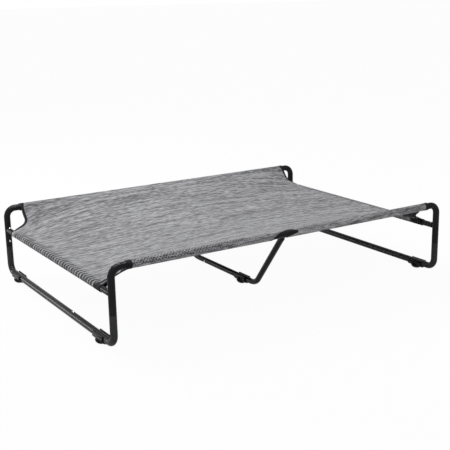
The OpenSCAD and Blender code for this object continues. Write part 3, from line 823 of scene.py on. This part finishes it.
class Grid:
    """Points, map, marks and faces of a piece of cloth, gathered column by column."""

    def __init__(self):
        self.points, self.texture, self.faces = [], [], []
        self.marks = {"tube_behind": [], "hem_layers": []}

    def column(self, points, texture, tube=None, hem=None):
        """One more column; returns the numbers of its points."""
        first = len(self.points)
        self.points += points
        self.texture += texture
        self.marks["tube_behind"] += tube or [0.0] * len(points)
        self.marks["hem_layers"] += hem or [0.0] * len(points)
        return list(range(first, len(self.points)))

    def bridge(self, one, two, keep=None):
        """Faces between two columns with the same number of points."""
        for k in range(len(one) - 1):
            if keep is None or keep(k):
                self.faces.append((one[k], two[k], two[k + 1], one[k + 1]))

    def make(self, name, material):
        """The object, with its map in metres."""
        data = bpy.data.meshes.new(name)
        data.from_pydata([p * MM for p in self.points], [], self.faces)
        layer = data.uv_layers.new(name="cloth")
        for loop in data.loops:
            layer.data[loop.index].uv = [v * MM for v in self.texture[loop.vertex_index]]
        for label, values in self.marks.items():
            data.attributes.new(label, "FLOAT", "POINT").data.foreach_set("value", values)
        data.materials.append(material)
        return in_scene(name, data)


def tube_mark(number):
    """How dark the tube shows through at a row of a loop: most on its top, less on its lower side, which is
    painted lighter as light from the floor.
    """
    if number < -1 or number > LEAVE_ROW:
        return 0.0
    return 1.0 if number <= LIP_ROW else LOWER_DARK_FLOOR_LIT


def build_sheet():
    """The whole sheet: panel, both loops, both ends and both hems."""
    grid = Grid()
    marks = [tube_mark(loop_row(row)) for row in range(ROWS)]
    numbers = []
    for x in stations:
        half = far_half(x)
        loop = run_lengths(half[len(shares) - 1:])
        runs = half_run[:len(shares) - 1] + [half_run[len(shares) - 1] + v for v in loop]
        line = [mirrored(p) for p in half[:0:-1]] + half
        runs = [-v for v in runs[:0:-1]] + runs
        fade = DASH_LEAST + (1 - DASH_LEAST) * min(1.0, max(0.0, (DASH_FROM - x) / DASH_REACH))
        numbers.append(grid.column(line, [(x, run) for run in runs], [mark * fade for mark in marks]))
    for i, x in enumerate(stations[:-1]):
        middle = (x + stations[i + 1]) / 2
        grid.bridge(numbers[i], numbers[i + 1],
                    lambda k: not is_cut(k if k >= CENTRE_ROW else k + 1, middle))
    parts = [k / MIDDLE_ROWS for k in range(-MIDDLE_ROWS, MIDDLE_ROWS + 1)]
    for end, first in ((-1, numbers[0]), (1, numbers[-1])):
        previous = first[CENTRE_ROW - MIDDLE_ROWS:CENTRE_ROW + MIDDLE_ROWS + 1]
        for x, edge in end_columns():
            line = [sheet_at(end * x, part * edge) for part in parts]
            near_bar = min(1.0, max(0.0, (x - CROSS_X + HEM_BARS + HEM_FADE) / HEM_FADE))
            current = grid.column(line, [(p.x, across(p.y / half_width(p.x))) for p in line],
                                  hem=[near_bar] * len(line))
            grid.bridge(previous, current)
            previous = current
        turns = [hem_points(end, grid.points[k].y) for k in previous]
        run = 0.0
        for step in range(len(turns[0])):
            line = [t[step] for t in turns]
            run += (line[MIDDLE_ROWS] - grid.points[previous[MIDDLE_ROWS]]).length
            bars = 1.0 if step < HEM_TOP else 0.0
            texture = [(end * (CROSS_X + run), across(p.y / half_width(CROSS_X))) for p in line]
            current = grid.column(line, texture, [HEM_DARK * bars] * len(line), [bars] * len(line))
            grid.bridge(previous, current)
            previous = current
    return grid.make("sling_sheet", mesh_cloth)


sheet = build_sheet()
print("sling_sheet faces", len(sheet.data.polygons))

# %% [markdown]
# ## Thickness
# A Solidify modifier gives the cloth its thickness on both sides of the middle surface. It is applied at
# once, so that the mesh is final.

# %% Solidify the sheet
def finish_cloth(piece, thickness):
    """Outward normals, thickness on both sides of the middle, and smooth shading."""
    only(piece)
    with editing():
        bpy.ops.mesh.normals_make_consistent(inside=False)
    apply_modifier(piece, "SOLIDIFY", thickness=thickness * MM, offset=0)
    bpy.ops.object.shade_smooth_by_angle(angle=math.radians(50))


finish_cloth(sheet, CLOTH_T)
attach(sheet, "frame")
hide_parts("fabric_panel", "sleeve_near", "sleeve_far", "hem_left", "hem_right")
print("sling_sheet faces with thickness", len(sheet.data.polygons))

# %% [markdown]
# ## Tape round the cut-out corners
# A folded tape is sewn over the whole cut edge: round the end of the sleeve, down the side of the
# notch, round its inner corner, along to the cross bar and round the end of the hem. A second, flat
# facing tape lies further in beside the hem's end. Both follow the cloth at a set distance from its
# edge, so one function gives a point on the cloth from a step of the route and that distance. The
# far right corner is drawn and the others are its mirror images.

# %% Points along a cut edge
FOLD_OVER = 0.8
SIDE_STEPS, ARC_STEPS, END_STEPS = 12, 12, 10


def edge_route():
    """Steps along a cut edge, from the seam of the sleeve to the seam of the hem."""
    route = [("loop", k) for k in range(SEAM_ROW, -1, -1)]
    route += [("side", k / SIDE_STEPS) for k in range(SIDE_STEPS)]
    route += [("arc", k / ARC_STEPS) for k in range(ARC_STEPS)]
    route += [("end", k / END_STEPS) for k in range(END_STEPS + 1)]
    return route + [("hem", k) for k in range(HEM_TOP + HEM_RETURN)]


def edge_point(step, inset):
    """The cloth's middle at one step of the far right corner's edge, at a distance in from the edge."""
    kind, k = step
    x, y = SIDE_END - inset, HEM_END - inset
    if kind == "loop":
        return loop_points(x, panel_line(x)[::-1])[k]
    if kind == "side":
        return sheet_at(x, half_width(x) + (HEM_END + NOTCH_R - half_width(x)) * k)
    if kind == "arc":
        angle, radius = math.pi / 2 * k, NOTCH_R + inset
        return sheet_at(SIDE_END + NOTCH_R - radius * math.cos(angle),
                        HEM_END + NOTCH_R - radius * math.sin(angle))
    if kind == "end":
        return sheet_at(SIDE_END + NOTCH_R + (CROSS_X - SIDE_END - NOTCH_R) * k, y)
    return hem_points(1, y)[k]


route = edge_route()
print("steps along a cut edge:", len(route))

# %% [markdown]
# ## Binding and facing at each corner
# The binding is broad round the sleeve and narrows on the side of the notch. At the near corners a black
# facing runs beside it along the whole edge, a strip of mesh shows between the two from above, and a black
# backing closes that strip from below. The backing is black tape, and its full breadth is also painted shade
# on the underside of the near wall, where shade falls. Round the cross bar this facing meets the binding and
# broadens into a patch, which is partly painted shade on the hem's underside. At the far corners the facing
# is grey, lies right beside the binding and starts at the inner corner.

# %% Corner tapes
RING_WIDTH = 13.5
SIDE_WIDTH = 8.5
TAPE_COLUMNS = 4
BINDING_T = CLOTH_T + 1.2
FACING_T = CLOTH_T + 0.9
CORNERS = {
    "left_near": (-1, -1), "left_far": (-1, 1), "right_near": (1, -1), "right_far": (1, 1),
}
BACKING_T = 0.6
# The backing is black tape, and it is made this broad as painted shade under the near wall.
BACKING_SHADE_WIDTH = 44
BACKING_DROP = CLOTH_T / 2 + 0.4
FACING_FROM = {"near": ("side", 0.1), "far": ("arc", 0.4)}
CORNER_TAPES = {
    # The near patch round the cross bar is broad partly as painted shade on the hem's underside.
    "near": {"binding": 5.5, "facing": (12.5, 28.0), "patch": 46.0, "material": tape_black},
    "far": {"binding": 9.0, "facing": (9.6, 28.0), "patch": 28.0, "material": tape_grey},
}


def binding_width(step, end_width):
    """Width of the binding at a step of the route."""
    kind, k = step
    if kind == "loop":
        return RING_WIDTH
    if kind == "side":
        return SIDE_WIDTH + (RING_WIDTH - SIDE_WIDTH) * max(0.0, 1 - 4 * k)
    if kind == "arc":
        return SIDE_WIDTH + (end_width - SIDE_WIDTH) * k
    return end_width


def facing_insets(step, plan):
    """Distances of the facing's two edges from the cut edge; it closes up to the binding at the side."""
    kind, k = step
    outer, inner = plan["facing"]
    if kind == "hem":
        round_bar = min(1.0, k / HEM_TOP)
        return min(outer, plan["binding"]), inner + (plan["patch"] - inner) * round_bar
    apart = {"side": 0.0, "arc": k}.get(kind, 1.0)
    return SIDE_WIDTH + (outer - SIDE_WIDTH) * apart, inner


def steps_from(kind, k):
    """The steps of the route from a given one to its end."""
    return route[next(i for i, step in enumerate(route) if step[0] == kind and step[1] >= k):]


def tape(name, rows, thickness, material):
    """A tape from its rows. A row has its points in place and the points that its map is measured on."""
    grid = Grid()
    previous, run, last = None, 0.0, None
    for placed, flat in rows:
        run += (flat[0] - last).length if last else 0.0
        last = flat[0]
        current = grid.column(placed, [(run, (p - flat[0]).length) for p in flat])
        if previous:
            grid.bridge(previous, current)
        previous = current
    made = grid.make(name, material)
    finish_cloth(made, thickness)
    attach(made, "frame")
    return made


def corner_tape(name, steps, insets, signs, thickness, material, drop=0.0):
    """A flat tape along steps of the route, between two distances from the edge at each step."""
    rows = []
    for step, (outer, inner) in zip(steps, insets):
        line = [edge_point(step, outer + (inner - outer) * k / TAPE_COLUMNS)
                for k in range(TAPE_COLUMNS + 1)]
        rows.append(([Vector((p.x * signs[0], p.y * signs[1], p.z - drop)) for p in line], line))
    return tape(name, rows, thickness, material)


tapes = []
for corner, signs in CORNERS.items():
    side = corner.split("_")[1]
    plan = CORNER_TAPES[side]
    widths = [(-FOLD_OVER, binding_width(step, plan["binding"])) for step in route]
    binding = corner_tape("corner_binding_" + corner, route, widths, signs, BINDING_T, tape_black)
    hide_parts("binding_" + corner)
    steps = steps_from(*FACING_FROM[side])
    insets = [facing_insets(step, plan) for step in steps]
    facing = corner_tape("corner_facing_" + corner, steps, insets, signs, FACING_T, plan["material"])
    tapes += [binding, facing]
    # The near backing: black tape that is also painted shade under the near wall.
    if side == "near":
        steps = [step for step in steps if step[0] != "hem"]
        insets = [(0.0, BACKING_SHADE_WIDTH)] * len(steps)
        tapes.append(corner_tape("corner_backing_painted_shade_" + corner, steps, insets, signs, BACKING_T, tape_black,
                                 BACKING_DROP))
print("corner tapes", len(tapes), "faces in one binding", len(tapes[0].data.polygons))

# %% [markdown]
# ## Tape round the slots
# The slot for the middle support is bound too, broad along its upper lip and narrow along the short
# lower lip. The route is laid out flat, as the distance along the rail and round the loop. Each step
# has a direction away from the slot, which turns quickly at the pointed end.

# %% Slot tapes
UPPER_WIDTH, LOWER_WIDTH, LEFT_WIDTH = 7.5, 2.8, 3.0
UPPER_STEPS, TIP_STEPS, LOWER_STEPS = 30, 6, 9
SLOT_COLUMNS = 3


def slot_route():
    """Flat place, direction away from the slot and tape width at each step round a slot."""
    places = [SLOT_LEFT] + spread(SLOT_LEFT, SLOT_RIGHT, UPPER_STEPS)
    upper = [Vector((x, LOOP_R * lips(x)[0])) for x in places]
    lower = [Vector((x, LOOP_R * lips(x)[1])) for x in spread(SLOT_RIGHT, LEG_EDGE, LOWER_STEPS)]
    steps = []
    for k, point in enumerate(upper):
        ahead = upper[min(k + 1, UPPER_STEPS)] - upper[max(k - 1, 0)]
        share = k / UPPER_STEPS
        width = LEFT_WIDTH + (UPPER_WIDTH - LEFT_WIDTH) * min(1.0, 2.5 * share)
        width += (LOWER_WIDTH - UPPER_WIDTH) * max(0.0, 4 * share - 3) * 0.6
        steps.append((point, math.atan2(-ahead.x, ahead.y), width))
    start, end = steps[-1][1], math.pi / 2 + 0.15
    for k in spread(0, 1, TIP_STEPS):
        steps.append((upper[-1].lerp(lower[0], k * 0.5), start + (end - start) * k,
                      steps[UPPER_STEPS][2] + (LOWER_WIDTH - steps[UPPER_STEPS][2]) * k))
    return steps + [(point, end, LOWER_WIDTH) for point in lower]


for side, sign in (("near", -1), ("far", 1)):
    rows = []
    for point, angle, width in slot_route():
        away = Vector((math.cos(angle), math.sin(angle)))
        flat = [point + away * (width * k / SLOT_COLUMNS - FOLD_OVER * (1 - k / SLOT_COLUMNS))
                for k in range(SLOT_COLUMNS + 1)]
        line = [on_loop(p.x, p.y / LOOP_R) for p in flat]
        rows.append(([Vector((p.x, p.y * sign, p.z)) for p in line], flat))
    slot_tape = tape("slot_tape_" + side, rows, FACING_T, tape_black)
    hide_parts("slot_binding_" + side)
    tapes.append(slot_tape)
print("slot tape faces", len(slot_tape.data.polygons))

# %% [markdown]
# ## Stitching
# A row of stitches closes each sleeve and each hem. One stitch is a small ball pulled long. It is
# modelled once, with few faces, and set down along each seam.

# %% One stitch
STITCH_LENGTH, STITCH_WIDTH, STITCH_HEIGHT = 4.6, 1.3, 0.9
STITCH_PITCH = 7.0

bpy.ops.object.select_all(action="DESELECT")
bpy.ops.mesh.primitive_uv_sphere_add(segments=6, ring_count=4, radius=0.5 * MM)
pattern_stitch = bpy.context.active_object
with editing():
    bpy.ops.transform.rotate(value=math.pi / 2, orient_axis="Y", center_override=(0, 0, 0))
    bpy.ops.transform.resize(value=(STITCH_LENGTH, STITCH_WIDTH, STITCH_HEIGHT))
stitch_points = [v.co.copy() for v in pattern_stitch.data.vertices]
stitch_faces = [tuple(p.vertices) for p in pattern_stitch.data.polygons]
bpy.data.objects.remove(pattern_stitch)
print("faces in one stitch:", len(stitch_faces))

# %% Rows of stitches
def stitch_row(name, lines):
    """Stitches along lines of points and upward directions, as one piece."""
    points, faces, count = [], [], 0
    for line in lines:
        places, ups = [p for p, up in line], [up for p, up in line]
        runs = run_lengths(places)
        total = int(runs[-1] / STITCH_PITCH)
        k = 0
        for number in range(total):
            target = (number + 0.5) * runs[-1] / total
            while runs[k + 1] < target:
                k += 1
            part = (target - runs[k]) / (runs[k + 1] - runs[k])
            ahead = (places[k + 1] - places[k]).normalized()
            up = ups[k].lerp(ups[k + 1], part)
            up = (up - ahead * up.dot(ahead)).normalized()
            turn = Matrix((ahead, up.cross(ahead), up)).transposed()
            place = places[k].lerp(places[k + 1], part) * MM
            first = len(points)
            points += [place + turn @ p for p in stitch_points]
            faces += [tuple(first + v for v in face) for face in stitch_faces]
            count += 1
    data = bpy.data.meshes.new(name)
    data.from_pydata(points, [], faces)
    data.materials.append(thread)
    made = in_scene(name, data)
    only(made)
    with editing():
        bpy.ops.mesh.normals_make_consistent(inside=False)
    bpy.ops.object.shade_smooth()
    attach(made, "frame")
    print(name, count, "stitches")
    return made


def on_top(x, y, lift):
    """A point on the upper face of the cloth, and the direction away from it."""
    here = sheet_at(x, y)
    along = sheet_at(x + 0.5, y) - sheet_at(x - 0.5, y)
    aside = sheet_at(x, y + 0.5) - sheet_at(x, y - 0.5)
    up = along.cross(aside).normalized()
    return here + up * lift, up


SEAM_STEPS = 160
TOP_OF_CLOTH = CLOTH_T / 2 + LAYER_GAP
sleeve_lines, hem_lines = [], []
for sign in (-1, 1):
    line = []
    for k in range(SEAM_STEPS + 1):
        x = (SIDE_END - SIDE_WIDTH) * (2 * k / SEAM_STEPS - 1)
        seam, _ = walk(panel_line(x)[::-1], SEAM_IN)
        line.append(on_top(x, sign * seam.y, TOP_OF_CLOTH))
    sleeve_lines.append(line)
    hem_half = HEM_END - CORNER_TAPES["near"]["facing"][1]
    seam_x = sign * (CROSS_X - HEM_SEAM_IN)
    hem_lines.append([on_top(seam_x, hem_half * (2 * k / SEAM_STEPS - 1), TOP_OF_CLOTH)
                      for k in range(SEAM_STEPS + 1)])
stitching = [stitch_row("sleeve_stitching", sleeve_lines), stitch_row("hem_stitching", hem_lines)]

# %% [markdown]
# ## Floor, light and background
# The cot stands on a white floor in even studio light. The floor and the world are white to the
# camera and in reflections, and the floor still shows a faint soft shadow under the tubes. One large
# soft box lights every matt surface. Two strip lamps and a card show in glossy surfaces alone, where
# they draw the thin bright lines along the tubes and feet.

# %% Floor and world
FLOOR_SIZE = 120
AMBIENT = 0.52
SHADOW_SHARE = 0.04


def sees_white(tree):
    """1 for a ray of the camera, a mirror or clear glass, and 0 for one that carries light."""
    rays = add(tree, "LightPath")
    bent = add(tree, "Math", {"operation": "MAXIMUM"},
               {0: rays.outputs["Is Glossy Ray"], 1: rays.outputs["Is Transmission Ray"]})
    return add(tree, "Math", {"operation": "MAXIMUM"},
               {0: rays.outputs["Is Camera Ray"], 1: bent.outputs[0]}).outputs[0]


bpy.ops.object.select_all(action="DESELECT")
bpy.ops.mesh.primitive_plane_add(size=FLOOR_SIZE)
floor = bpy.context.active_object
floor.name = "floor"
floor_material, floor_tree = new_material("white_studio_floor")
share = add(floor_tree, "Math", {"operation": "MULTIPLY"},
            {0: sees_white(floor_tree), 1: 1 - SHADOW_SHARE})
plain = add(floor_tree, "BsdfDiffuse", None, {"Color": colour("#f0f0f0")})
white = add(floor_tree, "Emission", None, {"Color": colour("#ffffff"), "Strength": 1.0})
floor_mix = add(floor_tree, "MixShader", None,
                {0: share.outputs[0], 1: plain.outputs[0], 2: white.outputs[0]})
add(floor_tree, "OutputMaterial", None, {"Surface": floor_mix.outputs[0]})
floor.data.materials.append(floor_material)

world = bpy.data.worlds.new("studio")
bpy.context.scene.world = world
world.use_nodes = True
sky = world.node_tree
sky.nodes.clear()
strength = add(sky, "Mix", None, {"Factor": sees_white(sky), "A": AMBIENT, "B": 1.0})
studio_light = add(sky, "Background", None, {"Color": colour("#ffffff"), "Strength": strength.outputs[0]})
add(sky, "OutputWorld", None, {"Surface": studio_light.outputs[0]})
print("floor and world")

# %% Lamps
def soft_lamp(name, place, aim, size, watts, in_gloss, in_shade):
    """A soft lamp that faces a point, and shows in glossy surfaces, lights matt ones, or both."""
    data = bpy.data.lights.new(name, "AREA")
    data.shape = "RECTANGLE"
    data.size, data.size_y = size
    data.energy = watts
    made = in_scene(name, data)
    made.visible_glossy = in_gloss
    made.visible_diffuse = in_shade
    made.location = place
    made.rotation_euler = (Vector(aim) - Vector(place)).to_track_quat("-Z", "Y").to_euler()


soft_lamp("key_soft_box", (-1.0, 1.8, 2.3), (0, 0, 0.15), (2.2, 2.2), 56, False, True)
soft_lamp("strip_lamp_far", (-0.6, 0.9, 2.6), (-0.6, 0, 0.15), (2.4, 0.15), 200, True, False)
soft_lamp("strip_lamp_near", (-0.6, -0.9, 2.6), (-0.6, 0, 0.15), (2.4, 0.15), 200, True, False)
soft_lamp("side_card", (-2.1, 2.6, 0.5), (-0.5, 0, 0.1), (0.9, 0.9), 25, True, False)
bpy.context.scene.view_settings.view_transform = "Standard"
print("one soft box, two strip lamps and a card")
